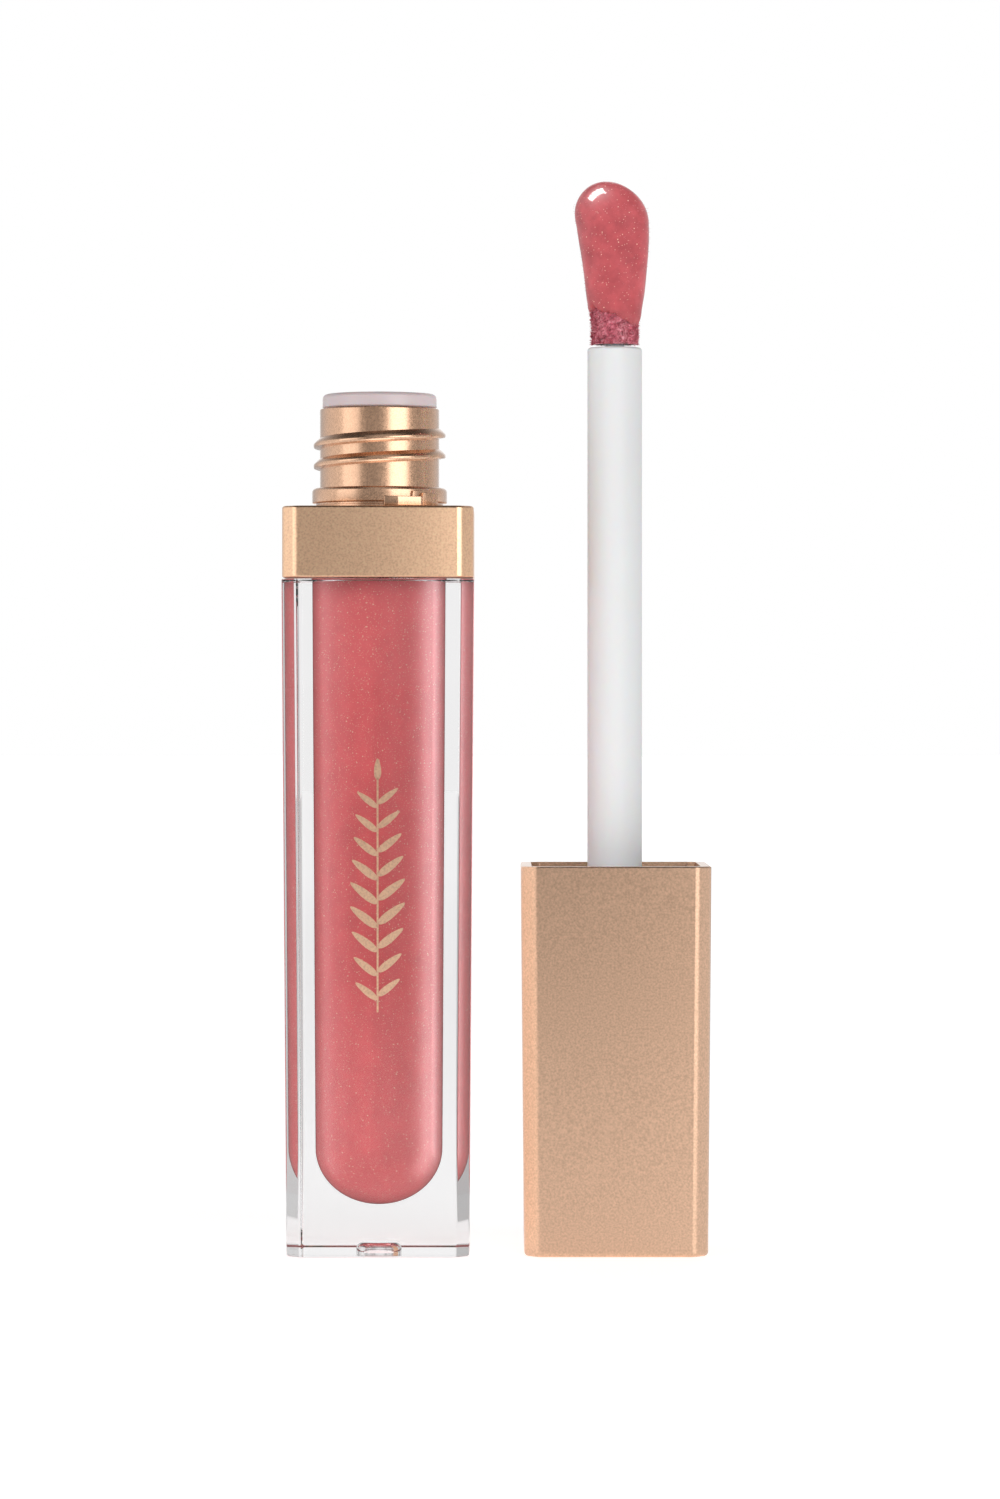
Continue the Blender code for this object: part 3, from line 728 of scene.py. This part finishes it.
def sprig():
    """A plain leafy sprig in gold foil, up the middle of the bottle's front."""
    low, high = 23.0 * MM, 46.5 * MM
    built = bmesh.new()

    def face_y(z):
        return -(BASE_WIDTH + (TOP_WIDTH - BASE_WIDTH) * z / BODY_TOP) / 2

    def plate(points):
        front = [built.verts.new((BX + x, face_y(z) - 0.030 * MM, z)) for x, z in points]
        back = [built.verts.new((BX + x, face_y(z) + 0.010 * MM, z)) for x, z in points]
        built.faces.new(front)
        built.faces.new(reversed(back))
        for i in range(len(points)):
            j = (i + 1) % len(points)
            built.faces.new((front[j], front[i], back[i], back[j]))

    def leaf(x, z, length, width, angle):
        """A leaf from its foot at (x, z), wider towards its foot than its tip."""
        points = []
        for i in range(24):
            t = 2 * math.pi * i / 24
            along = length / 2 * (1 - math.cos(t))
            across = width / 2 * math.sin(t) * (0.55 + 0.45 * math.cos(t / 2) ** 2)
            right = along * math.cos(angle) - across * math.sin(angle)
            up = along * math.sin(angle) + across * math.cos(angle)
            points.append((x + right, z + up))
        plate(points)

    half, stalk_end = 0.09 * MM, high - 1.5 * MM
    plate([(-half, low), (half, low), (half, stalk_end), (-half, stalk_end)])
    leaf(0.0, high - 1.7 * MM, 2.0 * MM, 0.85 * MM, math.radians(90))
    for row in range(9):
        z = low + 1.2 * MM + row * 2.25 * MM
        size = 1.0 - 0.28 * abs(row - 3.5) / 4.5
        for x, rise, degrees in ((half / 2, 0.35 * MM, 38), (-half / 2, 0.0, 142)):
            leaf(x, z + rise, 3.3 * MM * size, 1.05 * MM * size, math.radians(degrees))
    bmesh.ops.recalc_face_normals(built, faces=built.faces)
    return from_bmesh("foil_sprig", built, foil, 30.0)


ornament = sprig()
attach(ornament, "bottle")


# ---------------------------------------------------------------- the cap and the stem


END_WIDTH, RIM_WIDTH = 17.3 * MM, cap_high.x - cap_low.x
BOTH_WALLS = 2.0 * MM
cap = block(
    "gold_cap", END_WIDTH, RIM_WIDTH, 0.0, CAP_TOP, CHAMFER, CX, 0.40 * MM, 0.42 * MM, 0.16 * MM, gold_satin
)
slope = (RIM_WIDTH - END_WIDTH) / CAP_TOP
hollow_low, hollow_high = 1.2 * MM, CAP_TOP + 2 * MM
hollow = block(
    "cap_hollow",
    END_WIDTH - BOTH_WALLS + slope * hollow_low,
    END_WIDTH - BOTH_WALLS + slope * hollow_high,
    hollow_low,
    hollow_high,
    0.75 * MM,
    CX,
    0.2 * MM,
    0.3 * MM,
    0.0,
    gold_satin,
)
cut(cap, hollow)
crown(cap, 3.0)
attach(cap, "cap_and_wand")
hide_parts("over_cap")

stem_r, stem_bore = 2.6 * MM, 1.5 * MM
profile = [
    (stem_bore, stem_high.z),
    *arc((stem_r - 0.3 * MM, stem_high.z - 0.3 * MM), 0.3 * MM, 90, 0, 7),
    (stem_r, stem_low.z),
    (stem_bore, stem_low.z),
]
stem = lathe("white_stem", profile, CX, white, steps=128)
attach(stem, "cap_and_wand")
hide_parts("wand_stem")


# ---------------------------------------------------------------- the doe-foot


TIP_LENGTH, WIDEST_AT, NECK_END = 15.7 * MM, 12.0 * MM, 2.2 * MM
BASE_HALF, WIDEST_HALF, DEPTH = 2.33 * MM, 3.54 * MM, 0.76


def tip_half(height):
    """Half of the tip's width at a height above the stem."""
    share = min(max((height - NECK_END) / (WIDEST_AT - NECK_END), 0.0), 1.0)
    return BASE_HALF + (WIDEST_HALF - BASE_HALF) * (0.6 * share + 0.4 * math.sin(share * math.pi / 2))


def tip_lean(height):
    """How far the tip's middle leans towards the bottle at a height above the stem."""
    return -0.85 * MM * max((height - 9.0 * MM) / (TIP_LENGTH - 9.0 * MM), 0.0) ** 1.5


def tip_surface(
    name, inset, low, rows, caps, sides, material, wobble, seed, ragged=0.0, inside=0.0
):
    """The doe-foot's form, drawn in by inset(height) and given a slight wobble, as a closed solid.

    It has rows of rings up to its widest place, and caps of them above it. ragged waves and tilts its lower
    rim, and inside, if set, rounds that rim over this distance from its edge.
    """
    levels = [low + (WIDEST_AT - low) * i / rows for i in range(rows)]
    angles = [math.pi / 2 * i / caps for i in range(caps)]

    def ring(height, half, share):
        """A ring of points. share is how far up it is, and the rim's waves fade over the first two fifths."""
        ring_points = []
        for k in range(sides):
            a = 2 * math.pi * k / sides
            z = height
            if ragged:
                wave = noise.noise(Vector((math.cos(a) * 1.7, math.sin(a) * 1.7, seed + 3.0)))
                wave += 0.5 * noise.noise(Vector((math.cos(a) * 4.0, math.sin(a) * 4.0, seed + 7.0)))
                tilt = -0.45 * MM - 0.7 * MM * math.cos(a)
                z += (ragged * wave + tilt) * max(1.0 - share * 2.5, 0.0)
            push = noise.noise(Vector((math.cos(a) * 1.3, math.sin(a) * 1.3, z / (2.6 * MM) + seed)))
            r = half + wobble * push
            ring_points.append(
                (CX + tip_lean(z) + r * math.cos(a), r * DEPTH * math.sin(a), STEM_TOP + z)
            )
        return ring_points

    sections = []
    if inside:
        sections.append(ring(low + 0.05 * MM, tip_half(low) - inset(low) - inside, 0.0))
    for i, height in enumerate(levels):
        share = i / rows
        rim = 0.0
        if inside and i < 4:
            rim = inside * (1 - math.sin(math.pi / 2 * i / 4)) * 0.9
        sections.append(ring(height, tip_half(height) - inset(height) - rim, share))
    top = inset(TIP_LENGTH)
    for angle in angles:
        height = WIDEST_AT + (TIP_LENGTH - WIDEST_AT - top) * math.sin(angle)
        sections.append(ring(height, (WIDEST_HALF - top) * math.cos(angle), 1.0))
    built = bmesh.new()
    loops = [[built.verts.new(p) for p in s] for s in sections]
    for here, there in zip(loops, loops[1:]):
        for i in range(sides):
            j = (i + 1) % sides
            built.faces.new((here[i], here[j], there[j], there[i]))
    built.faces.new(reversed(loops[0]))
    apex = built.verts.new((CX + tip_lean(TIP_LENGTH), 0.0, STEM_TOP + TIP_LENGTH - top))
    for i in range(sides):
        built.faces.new((loops[-1][i], loops[-1][(i + 1) % sides], apex))
    bmesh.ops.recalc_face_normals(built, faces=built.faces)
    return from_bmesh(name, built, material, 70.0)


def flock_inset(height):
    """How far the flock lies inside the gloss's surface."""
    return 0.22 * MM + 0.28 * MM * smooth_step((height - 2.8 * MM) / (1.2 * MM))


coat = tip_surface(
    "wet_gloss_coat",
    lambda height: 0.0,
    3.2 * MM,
    60,
    22,
    96,
    coat_gloss,
    wobble=0.10 * MM,
    seed=2.0,
    ragged=0.7 * MM,
    inside=0.35 * MM,
)
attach(coat, "cap_and_wand")
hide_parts("gloss_coat")

flock = tip_surface("flocked_tip", flock_inset, 0.15 * MM, 40, 12, 72, wet_flock, wobble=0.05 * MM, seed=5.0)
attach(flock, "cap_and_wand")
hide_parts("tip_flock")


def fibres():
    """The flock's short fibres, in leaning tufts below the gloss, and a few that poke through it."""
    rng = random.Random(11)
    noise.seed_set(11)
    built = bmesh.new()
    tufted, poking = 4200, 1000
    for k in range(tufted + poking):
        through = k >= tufted
        height = (rng.uniform(3.0, 13.5) if through else rng.uniform(0.12, 4.3)) * MM
        a = rng.uniform(0, 2 * math.pi)
        half = tip_half(height) - (0.06 * MM if through else flock_inset(height) + 0.03 * MM)
        foot = Vector(
            (CX + tip_lean(height) + half * math.cos(a), half * DEPTH * math.sin(a), STEM_TOP + height)
        )
        out = Vector((math.cos(a) * DEPTH, math.sin(a), 0.0)).normalized()
        lean = noise.noise_vector(foot / (0.42 * MM)) * 1.7
        bend = lean + Vector((rng.gauss(0, 0.25), rng.gauss(0, 0.25), rng.gauss(0.0, 0.3)))
        way = (out + bend * (0.4 if through else 0.8)).normalized()
        length = (rng.uniform(0.10, 0.20) if through else rng.uniform(0.2, 0.42)) * MM
        thick = (0.012 * MM) if through else rng.uniform(0.020, 0.034) * MM
        side = way.orthogonal().normalized()
        other = way.cross(side)
        curl = foot + way * length * 0.55
        tip = curl + (way + bend * 0.4).normalized() * length * 0.45
        if tip.z < STEM_TOP + 0.02 * MM:
            continue
        turns = [2 * math.pi * n / 3 for n in range(3)]
        offsets = [(side * math.cos(turn) + other * math.sin(turn)) * thick for turn in turns]
        base = [built.verts.new(foot + offset) for offset in offsets]
        middle = [built.verts.new(curl + offset * 0.9) for offset in offsets]
        end = built.verts.new(tip)
        for n in range(3):
            m = (n + 1) % 3
            built.faces.new((base[n], base[m], middle[m], middle[n]))
            built.faces.new((middle[n], middle[m], end))
        built.faces.new(reversed(base))
    return from_bmesh("flock_fibres", built, wet_flock, 180.0)


fuzz = fibres()
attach(fuzz, "cap_and_wand")


# ---------------------------------------------------------------- the inner pieces


def repaint(node, material):
    """Gives a CAD node its material, and leaves its shape as it is."""
    for slot in frame["nodes"][node].material_slots:
        slot.link = "OBJECT"
        slot.material = material


repaint("inner_cap", white)
repaint("cap_gasket", foam)
repaint("cap_weight", steel)
repaint("tip_pin", white)
repaint("tip_core", foam)


# ---------------------------------------------------------------- floor, light and camera


plane = bmesh.new()
bmesh.ops.create_grid(plane, x_segments=1, y_segments=1, size=6.0)
floor = from_bmesh("floor", plane, floor_material())
floor.location.z = -0.02 * MM


# How bright the set is round the object: degrees from the camera's side, positive to the right, and a level.
ROUND_THE_SET = (
    (-180, 1.08),
    (-169, 1.02),
    (-160, 0.58),
    (-150, 0.54),
    (-140, 0.66),
    (-105, 0.92),
    (-85, 0.95),
    (-68, 0.65),
    (-35, 0.36),
    (-10, 0.38),
    (0, 0.44),
    (12, 0.50),
    (30, 0.45),
    (60, 0.42),
    (90, 0.46),
    (115, 0.60),
    (140, 0.74),
    (150, 0.64),
    (160, 0.68),
    (169, 1.02),
    (180, 1.08),
)


def world():
    """White to the camera. To everything else, it is as bright as ROUND_THE_SET says, and dark overhead."""
    made = bpy.data.worlds.new("studio")
    bpy.context.scene.world = made
    made.use_nodes = True
    tree = made.node_tree
    background = tree.nodes["Background"]

    def math_node(kind, a, b):
        node = tree.nodes.new("ShaderNodeMath")
        node.operation = kind
        for socket, value in zip(node.inputs, (a, b)):
            if isinstance(value, bpy.types.NodeSocket):
                tree.links.new(value, socket)
            else:
                socket.default_value = value
        return node.outputs[0]

    place = tree.nodes.new("ShaderNodeTexCoord")
    split = tree.nodes.new("ShaderNodeSeparateXYZ")
    tree.links.new(place.outputs["Generated"], split.inputs[0])
    azimuth = math_node("ARCTAN2", split.outputs["X"], math_node("MULTIPLY", split.outputs["Y"], -1.0))
    share = math_node("ADD", math_node("DIVIDE", azimuth, 2 * math.pi), 0.5)
    ring = tree.nodes.new("ShaderNodeValToRGB")
    band = ring.color_ramp
    while len(band.elements) < len(ROUND_THE_SET):
        band.elements.new(0.5)
    for element, (degrees, level) in zip(band.elements, ROUND_THE_SET):
        element.position = degrees / 360 + 0.5
        element.color = (level, level, level, 1.0)
    tree.links.new(share, ring.inputs[0])
    up = tree.nodes.new("ShaderNodeMapRange")
    up.interpolation_type = "SMOOTHSTEP"
    for key, value in (("From Min", 0.40), ("From Max", 0.85), ("To Min", 1.0), ("To Max", 0.08)):
        up.inputs[key].default_value = value
    tree.links.new(split.outputs["Z"], up.inputs["Value"])
    both = math_node("MULTIPLY", ring.outputs[0], up.outputs["Result"])
    seen = tree.nodes.new("ShaderNodeLightPath")
    pick = tree.nodes.new("ShaderNodeMix")
    pick.data_type = "FLOAT"
    tree.links.new(seen.outputs["Is Camera Ray"], pick.inputs[0])
    tree.links.new(both, pick.inputs[2])
    pick.inputs[3].default_value = 1.0
    tree.links.new(pick.outputs[0], background.inputs["Strength"])
    background.inputs["Color"].default_value = (1.0, 1.0, 1.0, 1.0)


def softbox(name, azimuth, elevation, distance, width, height, radiance, aim=(0.0, 0.0, 0.05), roll=0.0):
    """An area light. azimuth is in degrees from the camera's side, positive to the right."""
    light = bpy.data.lights.new(name, "AREA")
    light.shape = "RECTANGLE"
    light.size, light.size_y = width, height
    light.energy = radiance * math.pi * width * height
    made = bpy.data.objects.new(name, light)
    bpy.context.scene.collection.objects.link(made)
    a, e = math.radians(azimuth), math.radians(elevation)
    aim = Vector(aim)
    out = Vector((math.sin(a) * math.cos(e), -math.cos(a) * math.cos(e), math.sin(e)))
    made.location = aim + distance * out
    facing = (aim - made.location).to_track_quat("-Z", "Y").to_matrix()
    made.rotation_euler = (facing @ Matrix.Rotation(math.radians(roll), 3, "Z")).to_euler()
    return made


def group_of(name, pieces, state):
    """A collection for light linking: these pieces alone (INCLUDE), or all but them (EXCLUDE)."""
    group = bpy.data.collections.new(name)
    for piece in pieces:
        group.objects.link(piece)
    for child in group.collection_objects:
        child.light_linking.link_state = state
    return group


def only(lamps, group):
    """Makes these lamps light only what the group lets in."""
    for lamp in lamps:
        lamp.light_linking.receiver_collection = group


world()

main_lamps = [
    softbox("right_softbox", 38, 6, 1.0, 0.70, 1.1, 2.4),
    softbox("left_softbox", -57, 6, 1.0, 0.66, 1.1, 1.1),
]
only(main_lamps, group_of("all_but_gloss_and_wand", [coat, stem, fill], "EXCLUDE"))

gloss_lamps = [
    softbox("gloss_right_softbox", 38, 6, 1.0, 0.70, 1.1, 2.7),
    softbox("gloss_left_softbox", -57, 6, 1.0, 0.66, 1.1, 1.2),
]
for lamp in gloss_lamps:
    lamp.visible_glossy = False

stem_lamp = softbox("stem_softbox", -4, 5, 1.0, 1.7, 1.1, 1.5)
only([stem_lamp], group_of("the_stem", [stem], "INCLUDE"))

# Unlike the other two, this one also shines on the gloss's surface.
gloss_lamps.append(softbox("gloss_side_softbox", -78, 0, 1.0, 0.5, 1.4, 2.0))

collar_lamp = softbox("collar_softbox", 16, 2, 1.0, 0.30, 0.9, 0.5)
only([collar_lamp], group_of("the_collar", [collar], "INCLUDE"))

low_lamp = softbox("neck_low_softbox", 5, -28, 1.0, 0.8, 0.5, 1.3)
top_lamp = softbox("neck_top_softbox", 5, 62, 1.0, 0.7, 0.7, 0.5)
only([top_lamp, low_lamp], group_of("the_neck", [neck], "INCLUDE"))

rims = [
    softbox("right_rim", 107, 2, 1.0, 0.40, 1.7, 18.0),
    softbox("left_rim", -107, 2, 1.0, 0.40, 1.7, 3.0),
]
only([*rims, *gloss_lamps], group_of("the_gloss", [fill], "INCLUDE"))

inner = [frame["nodes"][node] for node in ("inner_cap", "cap_weight", "cap_gasket")]
not_shading = group_of("not_shading_the_gloss", [cap, stem, floor, *inner], "EXCLUDE")
for lamp in (*rims, low_lamp):
    lamp.visible_diffuse = False
    lamp.light_linking.blocker_collection = not_shading

tip_lamps = [
    softbox("tip_right_softbox", 40, 6, 1.0, 0.66, 1.1, 2.2),
    softbox("tip_left_softbox", -57, 6, 1.0, 0.66, 1.1, 1.3),
    softbox("tip_top_softbox", -10, 65, 1.0, 0.8, 0.8, 2.6),
]
for lamp in tip_lamps:
    lamp.visible_glossy = False
shine = softbox("tip_shine", -58, 59, 0.9, 0.80, 0.36, 55.0, (CX, 0.0, 0.1), 72)
shine.visible_diffuse = shine.visible_transmission = False
only([*tip_lamps, shine], group_of("the_tip", [coat], "INCLUDE"))

# A white card between the bottle and the cap, which only reflections see. It is no lamp but glows: painted
# light, which the cap's and the bottle's sides mirror.
CARD_WIDTH, CARD_HEIGHT, CARD_MIDDLE = 28 * MM, 63.2 * MM, 32 * MM
card = bmesh.new()
bmesh.ops.create_grid(card, x_segments=1, y_segments=1, size=0.5)
for corner in card.verts:
    corner.co = (0.0, corner.co.x * CARD_WIDTH, CARD_MIDDLE + corner.co.y * CARD_HEIGHT)
card_material = Nodes("glowing_white_card", Roughness=0.8)
card_material.shader.inputs["Emission Color"].default_value = (1.0, 0.97, 0.95, 1.0)
card_material.shader.inputs["Emission Strength"].default_value = 0.52
card = from_bmesh("glowing_white_card", card, card_material.material)
card.visible_camera = card.visible_diffuse = False
card.visible_transmission = card.visible_shadow = False

camera_data = bpy.data.cameras.new("camera")
camera = bpy.data.objects.new("camera", camera_data)
bpy.context.scene.collection.objects.link(camera)
camera.location = (0.00032, -0.523, 0.0510)
camera.rotation_euler = (math.pi / 2, 0.0, 0.0)
camera_data.sensor_width = 36.0
camera_data.lens = 131.8
camera_data.shift_y = -0.024
camera_data.clip_start = 0.01
bpy.context.scene.camera = camera

scene = bpy.context.scene
scene.view_settings.view_transform = "Standard"
scene.view_settings.look = "None"
